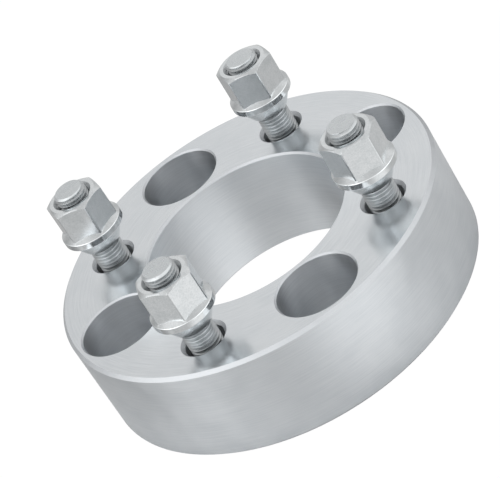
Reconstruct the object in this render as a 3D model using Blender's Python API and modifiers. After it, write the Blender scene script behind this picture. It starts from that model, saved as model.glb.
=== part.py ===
"""Bolt-on wheel spacer: a thick turned ring with pressed-in wheel studs and a lug nut on each stud.

Units are metres. The origin is the centre of the back face, which sits on the hub, and +Z points
out of the front face, which the wheel sits on. Studs and nut pockets alternate on one bolt circle.
"""

from math import cos, pi, radians, sin, sqrt, tan

import bmesh
import bpy
from mathutils import Matrix, Vector

MM = 0.001

# Bolt pattern and ring
STUD_COUNT = 4
BOLT_CIRCLE_RADIUS = 55.0 * MM
RING_THICKNESS = 38.1 * MM
RIM_WALL = 3.1 * MM
BORE_WALL = 1.7 * MM
OUTER_CHAMFER = 1.2 * MM
BORE_CHAMFER = 0.7 * MM

# Pockets that let the hub's own nuts sit below the front face
POCKET_RADIUS = 14.9 * MM
POCKET_FLOOR_THICKNESS = 14.0 * MM
POCKET_CHAMFER = 0.6 * MM
HUB_STUD_CLEARANCE = 0.6 * MM
SEAT_CLEARANCE = 0.3 * MM
BACK_HOLE_CHAMFER = 0.8 * MM

# Wheel studs
STUD_RADIUS = 6.0 * MM
STUD_STICK_OUT = 33.2 * MM
STUD_END_CHAMFER = 0.9 * MM
SPLINE_HEIGHT = 1.15 * MM
SPLINE_DEPTH = 0.55 * MM
SPLINE_LENGTH = 14.0 * MM
SPLINE_COUNT = 24
HEAD_FLANGE = 4.8 * MM
HEAD_THICKNESS = 5.6 * MM
HEAD_CHAMFER = 0.8 * MM
HEAD_RECESS = 1.2 * MM
HEAD_CLEARANCE = 0.8 * MM
PRESS_GAP = 0.3 * MM
STUD_HOLE_CHAMFER = 1.2 * MM

# Lug nuts: hexagon, round bulge, conical seat
HEX_ACROSS_FLATS = 19.0 * MM
HEX_HEIGHT = 12.8 * MM
CROWN_RADIUS = 8.9 * MM
CROWN_ANGLE = radians(30.0)
BULGE_LEDGE = 0.75 * MM
BULGE_HEIGHT = 2.8 * MM
BULGE_ROUND = 0.7 * MM
CONE_HEIGHT = 6.4 * MM
CONE_HALF_ANGLE = radians(30.0)
THREAD_GAP = 0.3 * MM
NUT_SEAT_CHAMFER = 0.6 * MM
NUT_TOP_CHAMFER = 1.2 * MM

# How far each stud's end stands out of its nut, and the nut's turn in degrees
NUT_PLACES = (
    (3.5 * MM, 2.5),
    (1.9 * MM, 44.5),
    (3.0 * MM, 44.5),
    (3.5 * MM, 27.0),
)

# Facets round a full turn
RING_FACETS = 96
POCKET_FACETS = 32
STUD_HOLE_FACETS = 28
STUD_FACETS = 24
NUT_FACETS = 36
ROUND_STEPS = 3

# Sizes that follow from the ones above
OUTER_RADIUS = BOLT_CIRCLE_RADIUS + POCKET_RADIUS + RIM_WALL
BORE_RADIUS = BOLT_CIRCLE_RADIUS - POCKET_RADIUS - BORE_WALL
SPLINE_RADIUS = STUD_RADIUS + SPLINE_HEIGHT
STUD_HOLE_RADIUS = SPLINE_RADIUS + PRESS_GAP
HEAD_RADIUS = STUD_RADIUS + HEAD_FLANGE
HEAD_SEAT = HEAD_RECESS + HEAD_THICKNESS + PRESS_GAP
STUD_TIP = RING_THICKNESS + STUD_STICK_OUT
HEX_CORNER_RADIUS = HEX_ACROSS_FLATS / sqrt(3.0)
BULGE_RADIUS = HEX_CORNER_RADIUS + BULGE_LEDGE
CONE_TOP_RADIUS = BULGE_RADIUS - BULGE_ROUND
CONE_END_RADIUS = CONE_TOP_RADIUS - CONE_HEIGHT * tan(CONE_HALF_ANGLE)
NUT_BORE_RADIUS = STUD_RADIUS + THREAD_GAP
NUT_LENGTH = CONE_HEIGHT + BULGE_HEIGHT + HEX_HEIGHT
HUB_HOLE_RADIUS = STUD_RADIUS + HUB_STUD_CLEARANCE
SEAT_RIM_RADIUS = CONE_TOP_RADIUS + SEAT_CLEARANCE

# Cutters reach this far past the faces that they cut
OVERCUT = 2.0 * MM
MERGE_DISTANCE = 0.00001


def clear_scene():
    """Remove every object that the new file holds."""
    for item in list(bpy.data.objects):
        bpy.data.objects.remove(item, do_unlink=True)


def make_collection(name):
    """Return a new collection linked to the scene."""
    collection = bpy.data.collections.new(name)
    bpy.context.scene.collection.children.link(collection)
    return collection


def make_material(name, colour, roughness):
    """Return a metal with a Principled BSDF."""
    material = bpy.data.materials.new(name)
    material.use_nodes = True
    shader = material.node_tree.nodes["Principled BSDF"]
    shader.inputs["Base Color"].default_value = (*colour, 1.0)
    shader.inputs["Metallic"].default_value = 1.0
    shader.inputs["Roughness"].default_value = roughness
    return material


def turned(name, profile, facets, collection, closed=False):
    """Make a turned solid from (radius, height) points that run down its outer side."""
    mesh = bpy.data.meshes.new(name)
    count = len(profile)
    edges = [(i, i + 1) for i in range(count - 1)]
    if closed:
        edges.append((count - 1, 0))
    mesh.from_pydata([(radius, 0.0, height) for radius, height in profile], edges, [])
    item = bpy.data.objects.new(name, mesh)
    collection.objects.link(item)
    screw = item.modifiers.new("Turn", "SCREW")
    screw.axis = "Z"
    screw.angle = 2.0 * pi
    screw.steps = facets
    screw.render_steps = facets
    screw.use_merge_vertices = True
    screw.merge_threshold = MERGE_DISTANCE
    screw.use_smooth_shade = True
    return item


def as_cutter(item):
    """Show an object as a wire outline and keep it out of the model."""
    item.hide_render = True
    item.display_type = "WIRE"
    return item


def combine(item, tool, operation):
    """Join, cut or intersect an object with a tool object."""
    boolean = item.modifiers.new(operation.title(), "BOOLEAN")
    boolean.operation = operation
    boolean.object = tool
    boolean.solver = "EXACT"


def rounded_corner(centre_radius, centre_height, round_radius, start, end):
    """Return the points of an arc in the profile plane, from one angle in degrees to another."""
    angles = [radians(start + (end - start) * k / ROUND_STEPS) for k in range(ROUND_STEPS + 1)]
    return [
        (centre_radius + round_radius * cos(angle), centre_height + round_radius * sin(angle))
        for angle in angles
    ]


def on_bolt_circle(azimuth):
    """Return the place on the bolt circle at an azimuth in radians."""
    return Vector((BOLT_CIRCLE_RADIUS * cos(azimuth), BOLT_CIRCLE_RADIUS * sin(azimuth), 0.0))


def stud_azimuth(index):
    """Return the azimuth of a stud. The pocket of the same number lies half a pitch further."""
    return 2.0 * pi * index / STUD_COUNT


def ring_profile():
    """Return the closed section of the ring, with its four chamfered edges."""
    top = RING_THICKNESS
    return [
        (OUTER_RADIUS - OUTER_CHAMFER, top),
        (OUTER_RADIUS, top - OUTER_CHAMFER),
        (OUTER_RADIUS, OUTER_CHAMFER),
        (OUTER_RADIUS - OUTER_CHAMFER, 0.0),
        (BORE_RADIUS + BORE_CHAMFER, 0.0),
        (BORE_RADIUS, BORE_CHAMFER),
        (BORE_RADIUS, top - BORE_CHAMFER),
        (BORE_RADIUS + BORE_CHAMFER, top),
    ]


def pocket_profile():
    """Return the section of one pocket, its conical nut seat and the hub stud's hole."""
    top = RING_THICKNESS
    floor = POCKET_FLOOR_THICKNESS
    seat_depth = (SEAT_RIM_RADIUS - HUB_HOLE_RADIUS) / tan(CONE_HALF_ANGLE)
    return [
        (0.0, top + OVERCUT),
        (POCKET_RADIUS + POCKET_CHAMFER + OVERCUT, top + OVERCUT),
        (POCKET_RADIUS, top - POCKET_CHAMFER),
        (POCKET_RADIUS, floor),
        (SEAT_RIM_RADIUS, floor),
        (HUB_HOLE_RADIUS, floor - seat_depth),
        (HUB_HOLE_RADIUS, BACK_HOLE_CHAMFER),
        (HUB_HOLE_RADIUS + BACK_HOLE_CHAMFER + OVERCUT, -OVERCUT),
        (0.0, -OVERCUT),
    ]


def stud_hole_profile():
    """Return the section of one stud's hole, with the recess that takes its head."""
    top = RING_THICKNESS
    recess_radius = HEAD_RADIUS + HEAD_CLEARANCE
    return [
        (0.0, top + OVERCUT),
        (STUD_HOLE_RADIUS + STUD_HOLE_CHAMFER + OVERCUT, top + OVERCUT),
        (STUD_HOLE_RADIUS, top - STUD_HOLE_CHAMFER),
        (STUD_HOLE_RADIUS, HEAD_SEAT),
        (recess_radius, HEAD_SEAT),
        (recess_radius, BACK_HOLE_CHAMFER),
        (recess_radius + BACK_HOLE_CHAMFER + OVERCUT, -OVERCUT),
        (0.0, -OVERCUT),
    ]


def build_ring(parts, cutters, metal):
    """Make the ring and drill its pockets and stud holes."""
    ring = turned("spacer_ring", ring_profile(), RING_FACETS, parts, closed=True)
    ring.data.materials.append(metal)
    for index in range(STUD_COUNT):
        azimuth = stud_azimuth(index)
        hole = turned(f"stud_hole_{index + 1}", stud_hole_profile(), STUD_HOLE_FACETS, cutters)
        hole.location = on_bolt_circle(azimuth)
        hole.rotation_euler.z = azimuth
        combine(ring, as_cutter(hole), "DIFFERENCE")
        azimuth += pi / STUD_COUNT
        pocket = turned(f"nut_pocket_{index + 1}", pocket_profile(), POCKET_FACETS, cutters)
        pocket.location = on_bolt_circle(azimuth)
        pocket.rotation_euler.z = azimuth
        combine(ring, as_cutter(pocket), "DIFFERENCE")
    return ring


def stud_profile():
    """Return the section of a wheel stud, from the chamfered end down to its head."""
    under_head = HEAD_SEAT - PRESS_GAP
    spline_root = SPLINE_RADIUS - SPLINE_DEPTH
    spline_top = HEAD_SEAT + SPLINE_LENGTH
    return [
        (0.0, STUD_TIP),
        (STUD_RADIUS - STUD_END_CHAMFER, STUD_TIP),
        (STUD_RADIUS, STUD_TIP - STUD_END_CHAMFER),
        (STUD_RADIUS, spline_top + SPLINE_HEIGHT),
        (spline_root, spline_top),
        (spline_root, under_head),
        (HEAD_RADIUS - HEAD_CHAMFER / 2.0, under_head),
        (HEAD_RADIUS, under_head - HEAD_CHAMFER / 2.0),
        (HEAD_RADIUS, HEAD_RECESS + HEAD_CHAMFER),
        (HEAD_RADIUS - HEAD_CHAMFER, HEAD_RECESS),
        (0.0, HEAD_RECESS),
    ]


def spline_sleeve(name, cutters):
    """Make the ring of ridges that bites into the stud's hole, as a toothed block."""
    teeth = bmesh.new()
    corners = []
    for index in range(2 * SPLINE_COUNT):
        radius = SPLINE_RADIUS if index % 2 == 0 else SPLINE_RADIUS - SPLINE_DEPTH
        angle = pi * index / SPLINE_COUNT
        corners.append(teeth.verts.new((radius * cos(angle), radius * sin(angle), HEAD_SEAT)))
    outline = teeth.faces.new(corners)
    raised = bmesh.ops.extrude_face_region(teeth, geom=[outline])
    top = [piece for piece in raised["geom"] if isinstance(piece, bmesh.types.BMVert)]
    bmesh.ops.translate(teeth, verts=top, vec=(0.0, 0.0, SPLINE_LENGTH))
    bmesh.ops.recalc_face_normals(teeth, faces=teeth.faces)
    mesh = bpy.data.meshes.new(name)
    teeth.to_mesh(mesh)
    teeth.free()
    sleeve = bpy.data.objects.new(name, mesh)
    cutters.objects.link(sleeve)
    return as_cutter(sleeve)


def build_stud(index, parts, cutters, metal):
    """Make one wheel stud in its hole, head at the back."""
    name = f"wheel_stud_{index + 1}"
    azimuth = stud_azimuth(index)
    stud = turned(name, stud_profile(), STUD_FACETS, parts)
    stud.data.materials.append(metal)
    sleeve = spline_sleeve(f"{name}_splines", cutters)
    for item in (stud, sleeve):
        item.location = on_bolt_circle(azimuth)
        item.rotation_euler.z = azimuth
    combine(stud, sleeve, "UNION")
    return stud


def crown_profile():
    """Return the turned envelope that chamfers the hexagon's top corners."""
    reach = HEX_CORNER_RADIUS + OVERCUT
    drop = (reach - CROWN_RADIUS) * tan(CROWN_ANGLE)
    return [
        (0.0, NUT_LENGTH),
        (CROWN_RADIUS, NUT_LENGTH),
        (reach, NUT_LENGTH - drop),
        (reach, 0.0),
        (0.0, 0.0),
    ]


def seat_profile():
    """Return the section of the nut's bulge and conical seat, below the hexagon."""
    hex_base = CONE_HEIGHT + BULGE_HEIGHT
    inner = HEX_ACROSS_FLATS / 2.0 - BULGE_ROUND / 2.0
    middle = BULGE_RADIUS - BULGE_ROUND
    upper = rounded_corner(middle, hex_base - 2.0 * BULGE_ROUND, BULGE_ROUND, 60.0, 0.0)
    lower = rounded_corner(middle, CONE_HEIGHT + BULGE_ROUND, BULGE_ROUND, 0.0, -60.0)
    return [
        (0.0, hex_base + BULGE_ROUND),
        (inner, hex_base + BULGE_ROUND),
        *upper,
        *lower,
        (CONE_TOP_RADIUS, CONE_HEIGHT),
        (CONE_END_RADIUS, 0.0),
        (0.0, 0.0),
    ]


def nut_bore_profile():
    """Return the section of the nut's bore, opened out at both mouths."""
    top_mouth = NUT_BORE_RADIUS + NUT_TOP_CHAMFER + OVERCUT
    seat_mouth = NUT_BORE_RADIUS + NUT_SEAT_CHAMFER + OVERCUT
    return [
        (0.0, NUT_LENGTH + OVERCUT),
        (top_mouth, NUT_LENGTH + OVERCUT),
        (NUT_BORE_RADIUS, NUT_LENGTH - NUT_TOP_CHAMFER),
        (NUT_BORE_RADIUS, NUT_SEAT_CHAMFER),
        (seat_mouth, -OVERCUT),
        (0.0, -OVERCUT),
    ]


def hexagon_prism(name, collection):
    """Make the nut's hexagon, from inside its bulge to its top."""
    base = CONE_HEIGHT + BULGE_HEIGHT / 2.0
    height = NUT_LENGTH - base
    block = bmesh.new()
    bmesh.ops.create_cone(
        block,
        cap_ends=True,
        segments=6,
        radius1=HEX_CORNER_RADIUS,
        radius2=HEX_CORNER_RADIUS,
        depth=height,
        matrix=Matrix.Translation((0.0, 0.0, base + height / 2.0)),
    )
    mesh = bpy.data.meshes.new(name)
    block.to_mesh(mesh)
    block.free()
    item = bpy.data.objects.new(name, mesh)
    collection.objects.link(item)
    return item


def build_nut(index, parts, cutters, metal):
    """Make one lug nut, part-way down its stud."""
    name = f"lug_nut_{index + 1}"
    shows, turn = NUT_PLACES[index % len(NUT_PLACES)]
    nut = hexagon_prism(name, parts)
    nut.data.materials.append(metal)
    crown = turned(f"{name}_crown", crown_profile(), NUT_FACETS, cutters)
    seat = turned(f"{name}_seat", seat_profile(), NUT_FACETS, cutters)
    bore = turned(f"{name}_bore", nut_bore_profile(), STUD_FACETS, cutters)
    place = on_bolt_circle(stud_azimuth(index))
    place.z = STUD_TIP - shows - NUT_LENGTH
    for item in (nut, crown, seat, bore):
        item.location = place
        item.rotation_euler.z = radians(turn)
    combine(nut, as_cutter(crown), "INTERSECT")
    combine(nut, as_cutter(seat), "UNION")
    combine(nut, as_cutter(bore), "DIFFERENCE")
    return nut


def shade(items, sharp_angle):
    """Shade round walls smooth and keep their edges sharp."""
    for item in items:
        item.data.shade_smooth()
        item.data.set_sharp_from_angle(angle=sharp_angle)


def build_spacer():
    """Build every piece of the wheel spacer."""
    clear_scene()
    parts = make_collection("wheel_spacer")
    cutters = make_collection("cutters")
    alloy = make_material("machined_alloy", (0.80, 0.81, 0.82), 0.30)
    steel = make_material("zinc_steel", (0.62, 0.63, 0.64), 0.35)
    chrome = make_material("bright_plate", (0.78, 0.80, 0.80), 0.14)
    pieces = [build_ring(parts, cutters, alloy)]
    for index in range(STUD_COUNT):
        pieces.append(build_stud(index, parts, cutters, steel))
        pieces.append(build_nut(index, parts, cutters, chrome))
    shade(pieces, radians(30.0))


build_spacer()
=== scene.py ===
"""Looks of a bolt-on wheel spacer: an alloy ring, four threaded wheel studs and a lug nut on each.

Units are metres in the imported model's frame: the origin is the centre of the back face, which sits
on the hub, and +Z points towards the wheel. Every piece is modelled at its own axis, copied to its
place on the bolt circle, and rides on the body of the solid that it replaces.
"""

import logging
from collections.abc import Callable, Iterator, Mapping, Sequence
from contextlib import contextmanager
from dataclasses import dataclass, field
from enum import Enum, IntEnum
from math import ceil, cos, pi, radians, sin, sqrt, tan

import bmesh
import bpy
from mathutils import Matrix, Vector

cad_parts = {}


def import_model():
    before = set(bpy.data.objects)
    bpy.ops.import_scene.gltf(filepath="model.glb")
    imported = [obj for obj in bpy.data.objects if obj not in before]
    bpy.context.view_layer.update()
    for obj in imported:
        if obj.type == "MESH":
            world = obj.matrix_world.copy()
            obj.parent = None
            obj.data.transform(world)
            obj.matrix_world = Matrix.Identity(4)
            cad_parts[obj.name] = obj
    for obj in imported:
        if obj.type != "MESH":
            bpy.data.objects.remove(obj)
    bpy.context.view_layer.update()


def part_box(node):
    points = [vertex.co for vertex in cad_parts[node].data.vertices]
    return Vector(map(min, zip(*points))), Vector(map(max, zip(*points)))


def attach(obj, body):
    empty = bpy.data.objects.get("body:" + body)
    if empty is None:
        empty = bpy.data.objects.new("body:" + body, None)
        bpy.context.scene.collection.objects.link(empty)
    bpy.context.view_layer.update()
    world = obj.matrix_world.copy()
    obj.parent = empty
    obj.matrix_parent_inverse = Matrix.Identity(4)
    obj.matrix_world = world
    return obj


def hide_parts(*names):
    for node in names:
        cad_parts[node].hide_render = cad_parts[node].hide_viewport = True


LOG = logging.getLogger("wheel_spacer")

MM = 0.001
MERGE_DISTANCE = 0.001 * MM
BEVEL_ANGLE = radians(28.0)
SHARP_ANGLE = radians(32.0)

Point = tuple[float, float]
Colour = tuple[float, float, float]


class Workbench:
    """Blender's modelling tools, used as a maker uses them, on one piece at a time."""

    @staticmethod
    def pick(*items: bpy.types.Object) -> None:
        """Select these objects alone, with the last one active.

        Args:
            items: The objects to select.
        """
        bpy.ops.object.select_all(action="DESELECT")
        for item in items:
            item.select_set(True)
        bpy.context.view_layer.objects.active = items[-1]

    @staticmethod
    @contextmanager
    def editing(item: bpy.types.Object) -> Iterator[None]:
        """Open a piece in edit mode, and close it afterwards.

        Args:
            item: The piece to edit.
        """
        Workbench.pick(item)
        bpy.ops.object.mode_set(mode="EDIT")
        bpy.ops.mesh.select_mode(type="VERT")
        yield
        bpy.ops.object.mode_set(mode="OBJECT")

    @staticmethod
    def choose_edges(item: bpy.types.Object, wanted: Callable[[bmesh.types.BMEdge], bool]) -> None:
        """Select edges of the piece that is being edited, by a test on each.

        Args:
            item: The piece in edit mode.
            wanted: Says whether an edge is selected.
        """
        bpy.ops.mesh.select_mode(type="EDGE")
        bpy.ops.mesh.select_all(action="DESELECT")
        shape = bmesh.from_edit_mesh(item.data)
        for edge in shape.edges:
            if wanted(edge):
                edge.select_set(True)
        bmesh.update_edit_mesh(item.data)

    @staticmethod
    def choose_faces(item: bpy.types.Object, wanted: Callable[[bmesh.types.BMFace], bool]) -> None:
        """Select faces of the piece that is being edited, by a test on each.

        Args:
            item: The piece in edit mode.
            wanted: Says whether a face is selected.
        """
        bpy.ops.mesh.select_mode(type="FACE")
        bpy.ops.mesh.select_all(action="DESELECT")
        shape = bmesh.from_edit_mesh(item.data)
        for face in shape.faces:
            if wanted(face):
                face.select_set(True)
        bmesh.update_edit_mesh(item.data)

    @staticmethod
    def drawn_line(name: str, points: Sequence[Point]) -> bpy.types.Object:
        """Draw a section line by extruding one vertex from point to point.

        Args:
            name: The new object's name.
            points: Radius and height of each point, in the XZ plane.

        Returns:
            The line, with its object at the origin.
        """
        bpy.ops.object.select_all(action="DESELECT")
        bpy.ops.mesh.primitive_plane_add(size=MM)
        item = bpy.context.object
        item.name = name
        with Workbench.editing(item):
            bpy.ops.mesh.select_all(action="SELECT")
            bpy.ops.mesh.merge(type="CENTER")
            bpy.ops.transform.translate(value=(points[0][0], 0.0, points[0][1]))
            for start, end in zip(points, points[1:]):
                step = (end[0] - start[0], 0.0, end[1] - start[1])
                bpy.ops.mesh.extrude_vertices_move(TRANSFORM_OT_translate={"value": step})
        return item

    @staticmethod
    def close_skin(item: bpy.types.Object) -> None:
        """Merge doubled vertices and turn every face outwards.

        Args:
            item: The piece, in object mode.
        """
        with Workbench.editing(item):
            bpy.ops.mesh.select_all(action="SELECT")
            bpy.ops.mesh.remove_doubles(threshold=MERGE_DISTANCE)
            bpy.ops.mesh.normals_make_consistent(inside=False)

    @staticmethod
    def turned(name: str, points: Sequence[Point], facets: int) -> bpy.types.Object:
        """Spin a section once round the Z axis.

        Args:
            name: The new object's name.
            points: Radius and height of each point. The ends lie on the axis or meet.
            facets: How many flats make the full turn.

        Returns:
            The turned solid, on the Z axis.
        """
        item = Workbench.drawn_line(name, points)
        with Workbench.editing(item):
            bpy.ops.mesh.select_all(action="SELECT")
            bpy.ops.mesh.spin(
                steps=facets, angle=2.0 * pi, center=(0.0, 0.0, 0.0), axis=(0.0, 0.0, 1.0)
            )
        Workbench.close_skin(item)
        return item

    @staticmethod
    def apply(item: bpy.types.Object, kind: str, settings: Mapping[str, object]) -> None:
        """Give a piece one modifier and apply it.

        Args:
            item: The piece.
            kind: The modifier's type.
            settings: Its settings, by name.
        """
        modifier = item.modifiers.new(kind.title(), kind)
        for key, setting in settings.items():
            setattr(modifier, key, setting)
        Workbench.pick(item)
        bpy.ops.object.modifier_apply(modifier=modifier.name)

    @staticmethod
    def combine(item: bpy.types.Object, tool: bpy.types.Object, operation: str) -> None:
        """Cut, join or intersect a piece with a tool, which is used up.

        Args:
            item: The piece that stays.
            tool: The solid that works on it.
            operation: DIFFERENCE, UNION or INTERSECT.
        """
        Workbench.apply(item, "BOOLEAN", {"operation": operation, "object": tool, "solver": "EXACT"})
        bpy.data.objects.remove(tool, do_unlink=True)

    @staticmethod
    def placed_copy(item: bpy.types.Object, name: str, place: Vector, turn: float) -> bpy.types.Object:
        """Copy a piece with its own mesh, and set the copy down turned at a place.

        Args:
            item: The piece to copy.
            name: The copy's name.
            place: Where its axis and base go.
            turn: Its turn about Z, in radians.

        Returns:
            The copy, with its place in its mesh.
        """
        Workbench.pick(item)
        bpy.ops.object.duplicate(linked=False)
        copy = bpy.context.object
        copy.name = name
        copy.data.name = name
        copy.location = place
        copy.rotation_euler.z = turn
        bpy.ops.object.transform_apply(location=True, rotation=True, scale=True)
        return copy

    @staticmethod
    def joined(items: Sequence[bpy.types.Object]) -> bpy.types.Object:
        """Join separate tools into one object.

        Args:
            items: The tools.

        Returns:
            The object that holds them all.
        """
        Workbench.pick(*items)
        bpy.ops.object.join()
        return bpy.context.object

    @staticmethod
    def ease_edges(item: bpy.types.Object, width: float, angle: float = BEVEL_ANGLE) -> None:
        """Round every edge that is sharper than an angle.

        Args:
            item: The piece.
            width: How far the rounding reaches on each side.
            angle: The least angle that is rounded, in radians.
        """
        Workbench.apply(
            item,
            "BEVEL",
            {"limit_method": "ANGLE", "angle_limit": angle, "width": width, "segments": 2},
        )

    @staticmethod
    def smooth(item: bpy.types.Object, sharp_angle: float = SHARP_ANGLE) -> None:
        """Shade a piece smooth, with flat faces kept flat up to their rounded edges.

        Args:
            item: The piece.
            sharp_angle: Edges sharper than this stay sharp, in radians.
        """
        Workbench.pick(item)
        bpy.ops.object.shade_smooth_by_angle(angle=sharp_angle)
        Workbench.apply(item, "WEIGHTED_NORMAL", {"keep_sharp": True, "weight": 50})

    @staticmethod
    def dress(
        item: bpy.types.Object,
        finishes: "Sequence[MetalFinish]",
        finish_of: Callable[[Vector, Vector], int],
    ) -> None:
        """Give every face of a piece its finish.

        Args:
            item: The finished shape.
            finishes: One finish for each material slot.
            finish_of: Gives a face's slot number from its middle and its direction.
        """
        for finish in finishes:
            item.data.materials.append(finish.material())
        for face in item.data.polygons:
            face.material_index = finish_of(face.center, face.normal)


@dataclass(frozen=True)
class Thread:
    """A metric thread form."""

    root: float
    crest: float
    pitch: float = 1.5 * MM
    crest_flat: float = 0.2 * MM
    root_flat: float = 0.32 * MM
    steps: int = 40
    spare_turns: int = 3

    def rod(self, name: str, bottom: float, top: float) -> bpy.types.Object:
        """Wind the thread round the Z axis and saw it off square at both ends.

        Args:
            name: The new object's name.
            bottom: Height of its lower end.
            top: Height of its upper end.

        Returns:
            The closed threaded rod.
        """
        start = bottom - self.spare_turns / 2.0 * self.pitch
        flank = (self.pitch - self.crest_flat - self.root_flat) / 2.0
        section = [
            (self.root, start),
            (self.root, start + self.root_flat),
            (self.crest, start + self.root_flat + flank),
            (self.crest, start + self.root_flat + flank + self.crest_flat),
            (self.root, start + self.pitch),
        ]
        item = Workbench.drawn_line(name, section)
        Workbench.apply(
            item,
            "SCREW",
            {
                "axis": "Z",
                "angle": 2.0 * pi,
                "screw_offset": self.pitch,
                "steps": self.steps,
                "render_steps": self.steps,
                "iterations": ceil((top - bottom) / self.pitch) + self.spare_turns,
                "use_merge_vertices": True,
                "merge_threshold": MERGE_DISTANCE,
            },
        )
        Workbench.close_skin(item)
        with Workbench.editing(item):
            for height, trim in ((top, {"clear_outer": True}), (bottom, {"clear_inner": True})):
                bpy.ops.mesh.select_all(action="SELECT")
                bpy.ops.mesh.bisect(
                    plane_co=(0.0, 0.0, height),
                    plane_no=(0.0, 0.0, 1.0),
                    use_fill=True,
                    threshold=0.1 * MERGE_DISTANCE,
                    **trim,
                )
        Workbench.close_skin(item)
        return item


class Value:
    """A number socket that takes part in arithmetic, which adds its Math nodes."""

    def __init__(self, graph: "Graph", socket: bpy.types.NodeSocket) -> None:
        """Wrap a socket.

        Args:
            graph: The graph that holds the socket's node.
            socket: An output that gives one number.
        """
        self.graph = graph
        self.socket = socket

    def _math(self, operation: str, first: "Operand", second: "Operand") -> "Value":
        """Add one Math node on two operands, and return its result."""
        node = self.graph.node("ShaderNodeMath", {"operation": operation}, {0: first, 1: second})
        return Value(self.graph, node.outputs[0])

    def __add__(self, other: "Operand") -> "Value":
        """Return this plus another operand."""
        return self._math("ADD", self, other)

    def __radd__(self, other: "Operand") -> "Value":
        """Return another operand plus this."""
        return self._math("ADD", other, self)

    def __sub__(self, other: "Operand") -> "Value":
        """Return this minus another operand."""
        return self._math("SUBTRACT", self, other)

    def __rsub__(self, other: "Operand") -> "Value":
        """Return another operand minus this."""
        return self._math("SUBTRACT", other, self)

    def __mul__(self, other: "Operand") -> "Value":
        """Return this times another operand."""
        return self._math("MULTIPLY", self, other)

    def __rmul__(self, other: "Operand") -> "Value":
        """Return another operand times this."""
        return self._math("MULTIPLY", other, self)

    def __pow__(self, other: "Operand") -> "Value":
        """Return this to the power of another operand."""
        return self._math("POWER", self, other)

    def step(self, low: float, high: float) -> "Value":
        """Return a smooth step of this value.

        Args:
            low: The value at which the step is 0.
            high: The value at which the step is 1.

        Returns:
            A number from 0 to 1.
        """
        sockets = {"Value": self, "From Min": low, "From Max": high}
        node = self.graph.node("ShaderNodeMapRange", {"interpolation_type": "SMOOTHSTEP"}, sockets)
        return Value(self.graph, node.outputs["Result"])


Operand = Value | bpy.types.NodeSocket | float | tuple[float, ...]


class Graph:
    """The node tree of one finish or of the surroundings."""

    def __init__(self, tree: bpy.types.NodeTree) -> None:
        """Start on an empty tree.

        Args:
            tree: The tree, whose nodes are removed.
        """
        self.tree = tree
        tree.nodes.clear()

    def node(
        self,
        kind: str,
        settings: Mapping[str, object] | None = None,
        sockets: Mapping[int | str, Operand] | None = None,
    ) -> bpy.types.Node:
        """Add one node.

        Args:
            kind: The node's type.
            settings: Its own settings, set first.
            sockets: A value or a link for each input, by name or number.

        Returns:
            The node.
        """
        made = self.tree.nodes.new(kind)
        for key, setting in (settings or {}).items():
            setattr(made, key, setting)
        for key, operand in (sockets or {}).items():
            if isinstance(operand, Value):
                self.tree.links.new(operand.socket, made.inputs[key])
            elif isinstance(operand, bpy.types.NodeSocket):
                self.tree.links.new(operand, made.inputs[key])
            else:
                made.inputs[key].default_value = operand
        return made

    def value(self, node: bpy.types.Node, output: int | str) -> Value:
        """Return one output of a node as a value.

        Args:
            node: The node.
            output: The output's name or number.

        Returns:
            The output, ready for arithmetic.
        """
        return Value(self, node.outputs[output])

    def place(self) -> tuple[bpy.types.NodeSocket, Value, Value, Value]:
        """Return a point's place on the object as a vector and as its X, Y and Z."""
        where = self.node("ShaderNodeTexCoord").outputs["Object"]
        split = self.node("ShaderNodeSeparateXYZ", sockets={0: where})
        return where, self.value(split, 0), self.value(split, 1), self.value(split, 2)

    def noise(self, where: Operand, scale: float, detail: float = 2.0, rough: float = 0.5) -> Value:
        """Add a noise pattern.

        Args:
            where: The point that it is read at.
            scale: How fine it is.
            detail: How many octaves it has.
            rough: How strong the finer octaves are.

        Returns:
            The noise, from 0 to 1.
        """
        sockets = {"Vector": where, "Scale": scale, "Detail": detail, "Roughness": rough}
        return self.value(self.node("ShaderNodeTexNoise", sockets=sockets), "Fac")

    def mixed(self, factor: Operand, first: Colour, second: Colour) -> bpy.types.NodeSocket:
        """Mix two colours.

        Args:
            factor: How much of the second colour there is.
            first: The first colour.
            second: The second colour.

        Returns:
            The mixed colour.
        """
        sockets = {0: factor, 6: (*first, 1.0), 7: (*second, 1.0)}
        return self.node("ShaderNodeMix", {"data_type": "RGBA"}, sockets).outputs[2]

    def layered(self, factor: Value, under: bpy.types.Node, over: bpy.types.Node) -> bpy.types.Node:
        """Mix two shaders.

        Args:
            factor: How much of the upper shader there is.
            under: The lower shader.
            over: The upper shader.

        Returns:
            The mixed shader.
        """
        sockets = {0: factor, 1: under.outputs[0], 2: over.outputs[0]}
        return self.node("ShaderNodeMixShader", sockets=sockets)


class Marks(Enum):
    """Which way a cutting tool's marks run on a surface."""

    HOOPS = "lines of equal height round a wall"
    RINGS = "rings about the Z axis on a face"
    NONE = "no tool marks"


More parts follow.
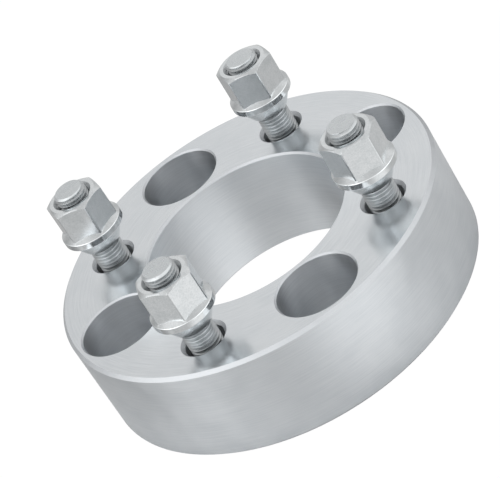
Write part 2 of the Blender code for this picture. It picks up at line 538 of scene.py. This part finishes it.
@dataclass(frozen=True)
class MetalFinish:
    """A bare or plated metal, with tool marks, cloudy tone and fine texture."""

    name: str
    pale: Colour
    deep: Colour
    roughness: float
    roughness_swing: float = 0.06
    marks: Marks = Marks.NONE
    mark_pitch: float = 0.3 * MM
    mark_depth: float = 0.002 * MM
    mark_stretch: float = 40.0
    mark_share: float = 0.6
    cloud_share: float = 0.4
    cloud_size: float = 12.0 * MM
    tone_edges: tuple[float, float] = (0.3, 0.7)
    anisotropic: float = 0.0
    anisotropic_rotation: float = 0.0

    def _mark_point(self, graph: Graph) -> Operand:
        """Return where the tool marks are read, fine across them and long along them."""
        where, x, y, z = graph.place()
        fineness = 1.0 / self.mark_pitch
        if self.marks is Marks.NONE:
            sockets = {0: where, 3: (fineness, fineness, fineness)}
            return graph.node("ShaderNodeMapping", sockets=sockets).outputs[0]
        across = z if self.marks is Marks.HOOPS else (x * x + y * y) ** 0.5
        drift = 1.0 / (self.mark_stretch * self.mark_pitch)
        sockets = {0: x * drift, 1: y * drift, 2: across * fineness}
        return graph.node("ShaderNodeCombineXYZ", sockets=sockets).outputs[0]

    def material(self) -> bpy.types.Material:
        """Make the material.

        Returns:
            The node-based material.
        """
        material = bpy.data.materials.new(self.name)
        material.use_nodes = True
        graph = Graph(material.node_tree)
        where = graph.place()[0]
        lines = graph.noise(self._mark_point(graph), 1.0, detail=3.0, rough=0.6)
        cloud = graph.noise(where, 1.0 / self.cloud_size)
        tone = (self.mark_share * lines + self.cloud_share * cloud).step(*self.tone_edges)
        bump = graph.node(
            "ShaderNodeBump",
            sockets={"Strength": 1.0, "Distance": self.mark_depth, "Height": lines},
        )
        shader = graph.node(
            "ShaderNodeBsdfPrincipled",
            sockets={
                "Base Color": graph.mixed(tone, self.deep, self.pale),
                "Metallic": 1.0,
                "Roughness": self.roughness + self.roughness_swing * (cloud - 0.5) * 2.0,
                "Anisotropic": self.anisotropic,
                "Anisotropic Rotation": self.anisotropic_rotation,
                "Normal": bump.outputs["Normal"],
            },
        )
        graph.node("ShaderNodeOutputMaterial", sockets={"Surface": shader.outputs[0]})
        return material


TURNED_WALL = MetalFinish(
    "alloy_turned_wall",
    pale=(0.735, 0.76, 0.78),
    deep=(0.655, 0.685, 0.71),
    roughness=0.36,
    marks=Marks.HOOPS,
    mark_pitch=0.35 * MM,
    anisotropic=0.55,
    anisotropic_rotation=0.25,
)
FACED_FRONT = MetalFinish(
    "alloy_faced",
    pale=(0.805, 0.83, 0.85),
    deep=(0.715, 0.745, 0.77),
    roughness=0.22,
    marks=Marks.RINGS,
    mark_pitch=0.35 * MM,
    anisotropic=0.2,
    anisotropic_rotation=0.25,
)
BORED_WALL = MetalFinish(
    "alloy_bored_pocket",
    pale=(0.76, 0.78, 0.80),
    deep=(0.68, 0.70, 0.72),
    roughness=0.34,
    marks=Marks.HOOPS,
    mark_pitch=0.5 * MM,
    anisotropic=0.85,
    anisotropic_rotation=0.25,
)
CUT_EDGE = MetalFinish(
    "alloy_cut_edge",
    pale=(0.62, 0.64, 0.66),
    deep=(0.56, 0.58, 0.60),
    roughness=0.42,
    cloud_size=5.0 * MM,
)
# Painted shade: the stud's thread and the nut's bore and mouths get this darker steel colour for the
# shade that falls on them.
PAINTED_SHADE_STEEL = MetalFinish(
    "steel_painted_shade",
    pale=(0.60, 0.62, 0.63),
    deep=(0.48, 0.50, 0.51),
    roughness=0.32,
    mark_pitch=0.4 * MM,
    cloud_size=3.0 * MM,
)
# Painted light: the stud's end and tip chamfer get this lighter steel colour because light falls on
# them.
PAINTED_LIGHT_STEEL_END = MetalFinish(
    "steel_end_painted_light",
    pale=(0.72, 0.745, 0.755),
    deep=(0.62, 0.65, 0.665),
    roughness=0.28,
    mark_pitch=0.4 * MM,
    cloud_size=3.0 * MM,
)
BRIGHT_NUT = MetalFinish(
    "bright_plated_nut",
    pale=(0.815, 0.835, 0.845),
    deep=(0.69, 0.72, 0.73),
    roughness=0.16,
    roughness_swing=0.05,
    mark_pitch=0.6 * MM,
    mark_depth=0.001 * MM,
    cloud_size=4.0 * MM,
)


@dataclass(frozen=True)
class BoltPattern:
    """Where the studs stand and the pockets lie."""

    count: int = 4
    radius: float = 55.0 * MM

    def stud_place(self, index: int) -> Vector:
        """Return where a stud's axis meets the back face."""
        return self._at(2.0 * pi * index / self.count)

    def pocket_place(self, index: int) -> Vector:
        """Return where a pocket's axis meets the back face, half a pitch past the stud."""
        return self._at(2.0 * pi * (index + 0.5) / self.count)

    def _at(self, azimuth: float) -> Vector:
        """Return the point of the circle at an azimuth."""
        return Vector((self.radius * cos(azimuth), self.radius * sin(azimuth), 0.0))


class RingSlot(IntEnum):
    """The material slot of each kind of surface on the ring."""

    WALL = 0
    FACE = 1
    POCKET = 2
    EDGE = 3


@dataclass
class Ring:
    """The alloy ring: a turned blank, drilled for the hub's nuts and for the wheel studs."""

    pattern: BoltPattern
    thickness: float = 38.1 * MM
    outer_radius: float = 73.0 * MM
    bore_radius: float = 38.4 * MM
    outer_chamfer: float = 1.2 * MM
    bore_chamfer: float = 0.7 * MM
    pocket_radius: float = 14.9 * MM
    pocket_floor: float = 14.0 * MM
    pocket_chamfer: float = 0.6 * MM
    floor_corner: float = 0.5 * MM
    floor_corner_middle: float = 0.15 * MM
    seat_rim: float = 11.32 * MM
    seat_half_angle: float = radians(30.0)
    hub_hole: float = 6.6 * MM
    stud_hole: float = 7.45 * MM
    stud_hole_chamfer: float = 1.2 * MM
    head_recess: float = 11.6 * MM
    head_seat: float = 7.1 * MM
    back_chamfer: float = 0.8 * MM
    edge_round: float = 0.12 * MM
    overcut: float = 2.0 * MM
    facets: int = 256
    pocket_facets: int = 96
    hole_facets: int = 72
    sharp_angle: float = radians(35.0)
    flat_lean: float = 0.98
    upright_lean: float = 0.3
    near_face: float = 0.01 * MM
    near_outside: float = 0.2 * MM
    near_bore: float = 0.1 * MM
    edge_zone: float = 2.0 * MM
    finishes: Sequence[MetalFinish] = (TURNED_WALL, FACED_FRONT, BORED_WALL, CUT_EDGE)

    def blank(self) -> bpy.types.Object:
        """Turn the ring with its four chamfered edges.

        Returns:
            The undrilled ring.
        """
        top = self.thickness
        section = [
            (self.outer_radius - self.outer_chamfer, top),
            (self.outer_radius, top - self.outer_chamfer),
            (self.outer_radius, self.outer_chamfer),
            (self.outer_radius - self.outer_chamfer, 0.0),
            (self.bore_radius + self.bore_chamfer, 0.0),
            (self.bore_radius, self.bore_chamfer),
            (self.bore_radius, top - self.bore_chamfer),
            (self.bore_radius + self.bore_chamfer, top),
        ]
        return Workbench.turned("alloy_ring", [*section, section[0]], self.facets)

    def pocket_tool(self) -> bpy.types.Object:
        """Turn the stepped drill that makes a pocket, its nut seat and the hub stud's hole.

        Returns:
            The tool, on the Z axis.
        """
        top = self.thickness
        seat_depth = (self.seat_rim - self.hub_hole) / tan(self.seat_half_angle)
        section = [
            (0.0, top + self.overcut),
            (self.pocket_radius + self.pocket_chamfer + self.overcut, top + self.overcut),
            (self.pocket_radius, top - self.pocket_chamfer),
            (self.pocket_radius, self.pocket_floor + self.floor_corner),
            (
                self.pocket_radius - self.floor_corner_middle,
                self.pocket_floor + self.floor_corner_middle,
            ),
            (self.pocket_radius - self.floor_corner, self.pocket_floor),
            (self.seat_rim, self.pocket_floor),
            (self.hub_hole, self.pocket_floor - seat_depth),
            (self.hub_hole, self.back_chamfer),
            (self.hub_hole + self.back_chamfer + self.overcut, -self.overcut),
            (0.0, -self.overcut),
        ]
        return Workbench.turned("pocket_drill", section, self.pocket_facets)

    def stud_hole_tool(self) -> bpy.types.Object:
        """Turn the stepped drill that makes a stud's hole and its head's recess.

        Returns:
            The tool, on the Z axis.
        """
        top = self.thickness
        section = [
            (0.0, top + self.overcut),
            (self.stud_hole + self.stud_hole_chamfer + self.overcut, top + self.overcut),
            (self.stud_hole, top - self.stud_hole_chamfer),
            (self.stud_hole, self.head_seat),
            (self.head_recess, self.head_seat),
            (self.head_recess, self.back_chamfer),
            (self.head_recess + self.back_chamfer + self.overcut, -self.overcut),
            (0.0, -self.overcut),
        ]
        return Workbench.turned("stud_drill", section, self.hole_facets)

    def drill(self, item: bpy.types.Object) -> None:
        """Drill every pocket and stud hole in one cut.

        Args:
            item: The undrilled ring.
        """
        pocket = self.pocket_tool()
        hole = self.stud_hole_tool()
        tools = []
        for index in range(self.pattern.count):
            pocket_place = self.pattern.pocket_place(index)
            stud_place = self.pattern.stud_place(index)
            tools.append(Workbench.placed_copy(pocket, "pocket_cut", pocket_place, 0.0))
            tools.append(Workbench.placed_copy(hole, "stud_cut", stud_place, 0.0))
        for pattern_tool in (pocket, hole):
            bpy.data.objects.remove(pattern_tool, do_unlink=True)
        Workbench.combine(item, Workbench.joined(tools), "DIFFERENCE")

    def finish_of(self, centre: Vector, normal: Vector) -> int:
        """Say which finish a face has.

        Args:
            centre: The face's middle.
            normal: Its direction.

        Returns:
            The number of its material slot.
        """
        reach = Vector((centre.x, centre.y)).length
        flat = abs(normal.z) > self.flat_lean
        upright = abs(normal.z) < self.upright_lean
        outside = reach > self.outer_radius - self.near_outside
        in_bore = reach < self.bore_radius + self.near_bore
        on_end = centre.z > self.thickness - self.near_face or centre.z < self.near_face
        if flat and on_end:
            return RingSlot.FACE
        if upright and (outside or in_bore):
            return RingSlot.WALL
        if upright or flat or self.edge_zone < centre.z < self.thickness - self.edge_zone:
            return RingSlot.POCKET
        return RingSlot.EDGE

    def build(self) -> bpy.types.Object:
        """Make the ring.

        Returns:
            The finished piece.
        """
        item = self.blank()
        self.drill(item)
        Workbench.ease_edges(item, self.edge_round)
        Workbench.smooth(item, self.sharp_angle)
        Workbench.dress(item, self.finishes, self.finish_of)
        return item


@dataclass
class WheelStud:
    """A wheel stud: chamfered thread, splined shoulder and round head."""

    thread: Thread = field(default_factory=lambda: Thread(root=5.1 * MM, crest=6.0 * MM))
    tip: float = 71.3 * MM
    tip_chamfer: float = 0.9 * MM
    thread_start: float = 21.0 * MM
    shank_radius: float = 6.0 * MM
    shoulder_radius: float = 6.3 * MM
    spline_root: float = 6.6 * MM
    spline_height: float = 0.55 * MM
    spline_count: int = 24
    spline_bottom: float = 7.1 * MM
    spline_top: float = 21.1 * MM
    head_radius: float = 10.8 * MM
    head_bottom: float = 1.2 * MM
    head_top: float = 6.8 * MM
    head_chamfer: float = 0.8 * MM
    head_fillet: float = 0.2 * MM
    shank_undercut: float = 0.05 * MM
    shank_bottom: float = 1.0 * MM
    shank_taper: float = 0.3 * MM
    shank_top: float = 1.15 * MM
    core_depth: float = 1.1 * MM
    core_top: float = 2.4 * MM
    edge_round: float = 0.12 * MM
    facets: int = 72
    finishes: Sequence[MetalFinish] = (PAINTED_SHADE_STEEL, PAINTED_LIGHT_STEEL_END)

    def head(self) -> bpy.types.Object:
        """Turn the head and the plain shoulder under the splines.

        Returns:
            The lower half of the stud.
        """
        shank = self.shank_radius - self.shank_undercut
        taper_bottom = self.spline_top - self.shank_bottom - self.shank_taper
        section = [
            (0.0, self.spline_top + self.core_top),
            (self.shank_radius - self.core_depth, self.spline_top + self.core_top),
            (shank, self.spline_top + self.shank_top),
            (shank, self.spline_top - self.shank_bottom),
            (self.shoulder_radius, taper_bottom),
            (self.shoulder_radius, self.head_top + self.head_fillet),
            (self.shoulder_radius + self.head_fillet, self.head_top),
            (self.head_radius - self.head_chamfer / 2.0, self.head_top),
            (self.head_radius, self.head_top - self.head_chamfer / 2.0),
            (self.head_radius, self.head_bottom + self.head_chamfer),
            (self.head_radius - self.head_chamfer, self.head_bottom),
            (0.0, self.head_bottom),
        ]
        item = Workbench.turned("stud_head", section, self.facets)
        Workbench.ease_edges(item, self.edge_round)
        return item

    def splines(self) -> bpy.types.Object:
        """Raise the ridges that bite into the hole, from every other flat of a drum.

        Returns:
            The splined sleeve.
        """
        height = self.spline_top - self.spline_bottom
        bpy.ops.object.select_all(action="DESELECT")
        bpy.ops.mesh.primitive_cylinder_add(
            vertices=2 * self.spline_count,
            radius=self.spline_root,
            depth=height,
            location=(0.0, 0.0, self.spline_bottom + height / 2.0),
        )
        item = bpy.context.object
        item.name = "stud_splines"
        bpy.ops.object.transform_apply(location=True, rotation=True, scale=True)
        pitch = 2.0 * pi / self.spline_count

        def ridge(face: bmesh.types.BMFace) -> bool:
            """Say whether a face is a flat that becomes a ridge."""
            middle = face.calc_center_median()
            turn = Vector((1.0, 0.0)).angle_signed(Vector((middle.x, middle.y, 0.0)).xy, 0.0)
            return abs(face.normal.z) < 0.5 and round(turn / (pitch / 2.0) - 0.5) % 2 == 0

        with Workbench.editing(item):
            Workbench.choose_faces(item, ridge)
            bpy.ops.mesh.extrude_faces_move(
                TRANSFORM_OT_shrink_fatten={"value": self.spline_height}
            )
        Workbench.close_skin(item)
        return item

    def threaded_end(self) -> bpy.types.Object:
        """Wind the thread and chamfer its tip.

        Returns:
            The threaded half of the stud.
        """
        item = self.thread.rod("stud_thread", self.thread_start, self.tip)
        over = 0.05 * MM
        past = 0.3 * MM
        bottom = self.thread_start - 1.0 * MM
        section = [
            (0.0, self.tip + over),
            (self.shank_radius - self.tip_chamfer - over, self.tip + over),
            (self.shank_radius + past, self.tip - self.tip_chamfer - past),
            (self.shank_radius + past, bottom),
            (0.0, bottom),
        ]
        sleeve = Workbench.turned("tip_chamfer", section, self.facets)
        Workbench.combine(item, sleeve, "INTERSECT")
        return item

    def finish_of(self, centre: Vector, normal: Vector) -> int:
        """Say which finish a face has: the end is bright with painted light, the rest darker with
        painted shade.

        Args:
            centre: The face's middle.
            normal: Its direction.

        Returns:
            The number of its material slot.
        """
        return int(centre.z > self.tip - self.tip_chamfer and normal.z > 0.5)

    def build(self) -> bpy.types.Object:
        """Make one stud on the Z axis.

        Returns:
            The finished pattern, to be copied to each hole.
        """
        item = self.threaded_end()
        Workbench.combine(item, self.head(), "UNION")
        Workbench.combine(item, self.splines(), "UNION")
        Workbench.smooth(item)
        Workbench.dress(item, self.finishes, self.finish_of)
        return item


@dataclass
class LugNut:
    """An open lug nut: chamfered hexagon, round bulge, 60 degree seat and threaded bore."""

    thread: Thread = field(default_factory=lambda: Thread(root=6.13 * MM, crest=6.9 * MM))
    across_flats: float = 19.0 * MM
    hex_bottom: float = 7.8 * MM
    length: float = 22.0 * MM
    corner_round: float = 0.45 * MM
    crown_radius: float = 8.9 * MM
    crown_angle: float = radians(30.0)
    ledge_radius: float = 9.15 * MM
    ledge_height: float = 9.9 * MM
    bulge_radius: float = 11.72 * MM
    bulge_top: float = 8.2 * MM
    bulge_bottom: float = 6.2 * MM
    bulge_round: float = 0.42 * MM
    cone_radius: float = 10.66 * MM
    cone_height: float = 5.78 * MM
    cone_half_angle: float = radians(30.0)
    top_mouth: float = 7.5 * MM
    seat_mouth: float = 7.0 * MM
    mouth_depth: float = 0.35 * MM
    edge_round: float = 0.15 * MM
    bevel_angle: float = radians(24.0)
    turned_facets: int = 144
    mouth_facets: int = 72
    finishes: Sequence[MetalFinish] = (BRIGHT_NUT, PAINTED_SHADE_STEEL)

    def hexagon(self) -> bpy.types.Object:
        """Shape the hexagon, with rounded corners and a chamfered crown.

        Returns:
            The hexagon, standing in the bulge.
        """
        height = self.length - self.hex_bottom
        corner = self.across_flats / sqrt(3.0)
        bpy.ops.object.select_all(action="DESELECT")
        bpy.ops.mesh.primitive_cylinder_add(
            vertices=6,
            radius=corner,
            depth=height,
            location=(0.0, 0.0, self.length - height / 2.0),
        )
        item = bpy.context.object
        item.name = "nut_hexagon"
        bpy.ops.object.transform_apply(location=True, rotation=True, scale=True)

        def upright(edge: bmesh.types.BMEdge) -> bool:
            """Say whether an edge is one of the six corners."""
            return abs(edge.verts[0].co.z - edge.verts[1].co.z) > MM

        with Workbench.editing(item):
            Workbench.choose_edges(item, upright)
            bpy.ops.mesh.bevel(offset=self.corner_round, segments=4)
        reach = corner + 2.0 * MM
        drop = (reach - self.crown_radius) * tan(self.crown_angle)
        section = [
            (0.0, self.length),
            (self.crown_radius, self.length),
            (reach, self.length - drop),
            (reach, self.cone_height),
            (0.0, self.cone_height),
        ]
        crown = Workbench.turned("crown_chamfer", section, self.turned_facets)
        Workbench.combine(item, crown, "INTERSECT")
        return item

    def seat(self) -> bpy.types.Object:
        """Turn the bulge and the conical seat.

        Returns:
            The lower part of the nut.
        """
        side = self.bulge_radius - self.bulge_round
        corners = (
            (self.bulge_top, (60, 45, 30, 15, 0)),
            (self.bulge_bottom, (0, -20, -40, -60, -80)),
        )
        rounds = [
            (
                side + self.bulge_round * cos(radians(angle)),
                height + self.bulge_round * sin(radians(angle)),
            )
            for height, angles in corners
            for angle in angles
        ]
        section = [
            (0.0, self.ledge_height),
            (self.ledge_radius, self.ledge_height),
            *rounds,
            (self.cone_radius, self.cone_height),
            (self.cone_radius - self.cone_height * tan(self.cone_half_angle), 0.0),
            (0.0, 0.0),
        ]
        return Workbench.turned("nut_seat", section, self.turned_facets)

    def bore(self, item: bpy.types.Object) -> None:
        """Open out both mouths and cut the thread.

        Args:
            item: The solid nut.
        """
        past = 1.0 * MM
        narrow = self.thread.root - self.mouth_depth
        ends = ((self.length, 1.0, self.top_mouth), (0.0, -1.0, self.seat_mouth))
        tools = []
        for height, way, mouth in ends:
            depth = mouth - narrow
            section = [
                (0.0, height + way * past),
                (mouth + past, height + way * past),
                (narrow, height - way * depth),
                (0.0, height - way * depth),
            ]
            tools.append(Workbench.turned("mouth_chamfer", section, self.mouth_facets))
        Workbench.combine(item, Workbench.joined(tools), "DIFFERENCE")
        tap = self.thread.rod("nut_tap", -past, self.length + past)
        Workbench.combine(item, tap, "DIFFERENCE")

    def finish_of(self, centre: Vector, normal: Vector) -> int:
        """Say which finish a face has: the bore and its mouths are darker, a painted shade.

        Args:
            centre: The face's middle.
            normal: Its direction.

        Returns:
            The number of its material slot.
        """
        reach = Vector((centre.x, centre.y))
        inward = reach.dot(Vector((normal.x, normal.y))) < 0.0
        return int(reach.length < self.top_mouth and (inward or reach.length < self.thread.crest))

    def build(self) -> bpy.types.Object:
        """Make one nut on the Z axis, its cone's end at height 0.

        Returns:
            The finished pattern, to be copied to each stud.
        """
        item = self.hexagon()
        Workbench.combine(item, self.seat(), "UNION")
        Workbench.ease_edges(item, self.edge_round, self.bevel_angle)
        self.bore(item)
        Workbench.smooth(item)
        Workbench.dress(item, self.finishes, self.finish_of)
        return item


@dataclass
class Spacer:
    """The whole wheel spacer, set on its solids' places."""

    pattern: BoltPattern = field(default_factory=BoltPattern)
    nut_turns: Sequence[float] = (2.5, 44.5, 44.5, 27.0)

    def build_ring(self) -> None:
        """Build the ring in place of its solid."""
        ring = Ring(self.pattern).build()
        self._settle(ring, "spacer_ring", "spacer", "machined_alloy")

    def build_studs(self) -> None:
        """Build one stud and set a copy of it in every hole."""
        pattern_stud = WheelStud().build()
        for index in range(self.pattern.count):
            place = self.pattern.stud_place(index)
            turn = 2.0 * pi * index / self.pattern.count
            stud = Workbench.placed_copy(pattern_stud, f"threaded_stud_{index + 1}", place, turn)
            self._settle(stud, f"wheel_stud_{index + 1}", "spacer", "stud_steel")
        bpy.data.objects.remove(pattern_stud, do_unlink=True)

    def build_nuts(self) -> None:
        """Build one nut and set a copy of it on every stud, at its solid's height."""
        pattern_nut = LugNut().build()
        for index in range(self.pattern.count):
            node = f"lug_nut_{index + 1}"
            place = self.pattern.stud_place(index)
            place.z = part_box(node)[0].z
            turn = radians(self.nut_turns[index])
            nut = Workbench.placed_copy(pattern_nut, f"plated_nut_{index + 1}", place, turn)
            self._settle(nut, node, f"nut_{index + 1}", "nut_plate")
        bpy.data.objects.remove(pattern_nut, do_unlink=True)

    @staticmethod
    def _settle(item: bpy.types.Object, node: str, body: str, slot: str) -> None:
        """Put a finished piece in its solid's place and report it."""
        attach(item, body)
        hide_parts(node)
        LOG.info("%s replaces %s on %s: %d faces", item.name, node, body, len(item.data.polygons))


@dataclass(frozen=True)
class PhotoCamera:
    """The camera that the photograph was fitted to."""

    place: Vector = Vector((0.4004, -0.5839, 0.477))
    target: Vector = Vector((0.0046, -0.0073, 0.0381))
    lens: float = 171.7
    sensor: float = 36.0
    roll: float = radians(-32.43)

    def build(self) -> bpy.types.Object:
        """Set the camera up and make it the scene's.

        Returns:
            The camera.
        """
        data = bpy.data.cameras.new("photo_camera")
        data.lens = self.lens
        data.sensor_width = self.sensor
        data.clip_start = 0.01
        data.clip_end = 50.0
        camera = bpy.data.objects.new("photo_camera", data)
        bpy.context.scene.collection.objects.link(camera)
        ahead = (self.target - self.place).normalized()
        right = ahead.cross(Vector((0.0, 0.0, 1.0))).normalized()
        up = right.cross(ahead)
        rolled_right = cos(self.roll) * right + sin(self.roll) * up
        rolled_up = cos(self.roll) * up - sin(self.roll) * right
        turn = Matrix((rolled_right, rolled_up, -ahead)).transposed().to_4x4()
        camera.matrix_world = Matrix.Translation(self.place) @ turn
        bpy.context.scene.camera = camera
        return camera


@dataclass(frozen=True)
class Glow:
    """A soft panel of the surroundings, by its direction and half width in degrees.

    A panel of negative strength is a dark one, which takes light away from the base level.
    """

    azimuth: float
    elevation: float
    half_width: float
    strength: float

    def light(self, x: Value, y: Value, z: Value) -> Value:
        """Say how brightly the panel shines from a direction.

        Args:
            x: The direction's X.
            y: Its Y.
            z: Its Z.

        Returns:
            The strength at the middle of the panel, falling to 0 at its edge.
        """
        level = cos(radians(self.elevation))
        facing = (
            x * (level * cos(radians(self.azimuth)))
            + y * (level * sin(radians(self.azimuth)))
            + z * sin(radians(self.elevation))
        )
        return self.strength * facing.step(cos(radians(self.half_width)), 1.0)


@dataclass
class Studio:
    """White floor and white surroundings with soft light panels.

    The camera sees both as white. In the metal's reflections the floor is a grey paper, a painted
    shade round the part's foot, that reaches from the bore's rim to a little past the part, and is
    clear everywhere else.
    """

    floor_size: float = 14.0
    floor_glow: float = 1.05
    floor_glow_share: float = 0.94
    painted_shade_grey: float = 0.58
    painted_shade_start: tuple[float, float] = (40.0 * MM, 41.0 * MM)
    painted_shade_end: tuple[float, float] = (74.0 * MM, 118.0 * MM)
    base_level: float = 0.86
    glows: Sequence[Glow] = (
        Glow(30.0, -35.0, 40.0, -0.30),
        Glow(90.0, -35.0, 40.0, -0.15),
        Glow(120.0, -35.0, 40.0, -0.19),
        Glow(150.0, -35.0, 40.0, -0.16),
        Glow(180.0, -35.0, 40.0, -0.30),
        Glow(210.0, -35.0, 40.0, -0.21),
        Glow(270.0, -35.0, 40.0, -0.30),
        Glow(330.0, -35.0, 40.0, 0.11),
        Glow(0.0, 8.0, 34.0, 0.54),
        Glow(30.0, 8.0, 34.0, 0.32),
        Glow(90.0, 8.0, 34.0, -0.28),
        Glow(150.0, 8.0, 34.0, -0.25),
        Glow(210.0, 8.0, 34.0, 0.43),
        Glow(240.0, 8.0, 34.0, 0.82),
        Glow(300.0, 8.0, 34.0, -0.28),
        Glow(330.0, 8.0, 34.0, 0.51),
        Glow(0.0, 40.0, 45.0, 0.30),
        Glow(135.0, 40.0, 45.0, -0.05),
        Glow(180.0, 40.0, 45.0, -0.23),
        Glow(225.0, 40.0, 45.0, 0.57),
        Glow(270.0, 40.0, 45.0, 0.29),
        Glow(315.0, 40.0, 45.0, 0.18),
        Glow(0.0, 90.0, 60.0, -0.20),
    )

    def surroundings(self) -> None:
        """Light the scene from all round. The camera sees plain white."""
        world = bpy.data.worlds.new("white_studio")
        world.use_nodes = True
        graph = Graph(world.node_tree)
        where = graph.node("ShaderNodeTexCoord").outputs["Generated"]
        split = graph.node("ShaderNodeSeparateXYZ", sockets={0: where})
        x, y, z = (graph.value(split, number) for number in range(3))
        light = self.base_level
        for glow in self.glows:
            light = light + glow.light(x, y, z)
        camera_ray = graph.value(graph.node("ShaderNodeLightPath"), "Is Camera Ray")
        strength = light + camera_ray * (1.0 - light)
        sockets = {"Color": (1.0, 1.0, 1.0, 1.0), "Strength": strength}
        back = graph.node("ShaderNodeBackground", sockets=sockets)
        graph.node("ShaderNodeOutputWorld", sockets={"Surface": back.outputs[0]})
        world.cycles.sampling_method = "NONE"
        bpy.context.scene.world = world

    def floor(self) -> None:
        """Lay the white floor, which keeps a faint shadow of the object."""
        bpy.ops.object.select_all(action="DESELECT")
        bpy.ops.mesh.primitive_plane_add(size=self.floor_size, location=(0.0, 0.0, 0.0))
        item = bpy.context.object
        item.name = "studio_floor"
        material = bpy.data.materials.new("white_floor")
        material.use_nodes = True
        graph = Graph(material.node_tree)
        grey = (self.painted_shade_grey, self.painted_shade_grey, self.painted_shade_grey, 1.0)
        paper = graph.node("ShaderNodeBsdfDiffuse", sockets={"Color": grey})
        glow = graph.node("ShaderNodeEmission", sockets={"Strength": self.floor_glow})
        clear = graph.node("ShaderNodeBsdfTransparent")
        path = graph.node("ShaderNodeLightPath")
        camera_ray = graph.value(path, "Is Camera Ray")
        glossy_ray = graph.value(path, "Is Glossy Ray")
        _, x, y, _ = graph.place()
        reach = (x * x + y * y) ** 0.5
        # Painted shade: reflections see a grey ring of floor round the part's foot, which darkens the
        # walls towards their bottoms; elsewhere the floor is clear to them.
        away = 1.0 - reach.step(*self.painted_shade_start) * (1.0 - reach.step(*self.painted_shade_end))
        seen = graph.layered(camera_ray * self.floor_glow_share, paper, glow)
        mirrored = graph.layered(glossy_ray * away, seen, clear)
        graph.node("ShaderNodeOutputMaterial", sockets={"Surface": mirrored.outputs[0]})
        item.data.materials.append(material)

    def build(self) -> None:
        """Set up the whole studio."""
        bpy.context.scene.view_settings.view_transform = "Standard"
        self.surroundings()
        self.floor()
        LOG.info("studio with %d light panels", len(self.glows))


def main() -> None:
    """Load the solids, and build every piece and the studio."""
    logging.basicConfig(level=logging.INFO, format="%(name)s: %(message)s")
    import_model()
    PhotoCamera().build()
    spacer = Spacer()
    spacer.build_ring()
    spacer.build_studs()
    spacer.build_nuts()
    Studio().build()


if __name__ == "__main__":
    main()
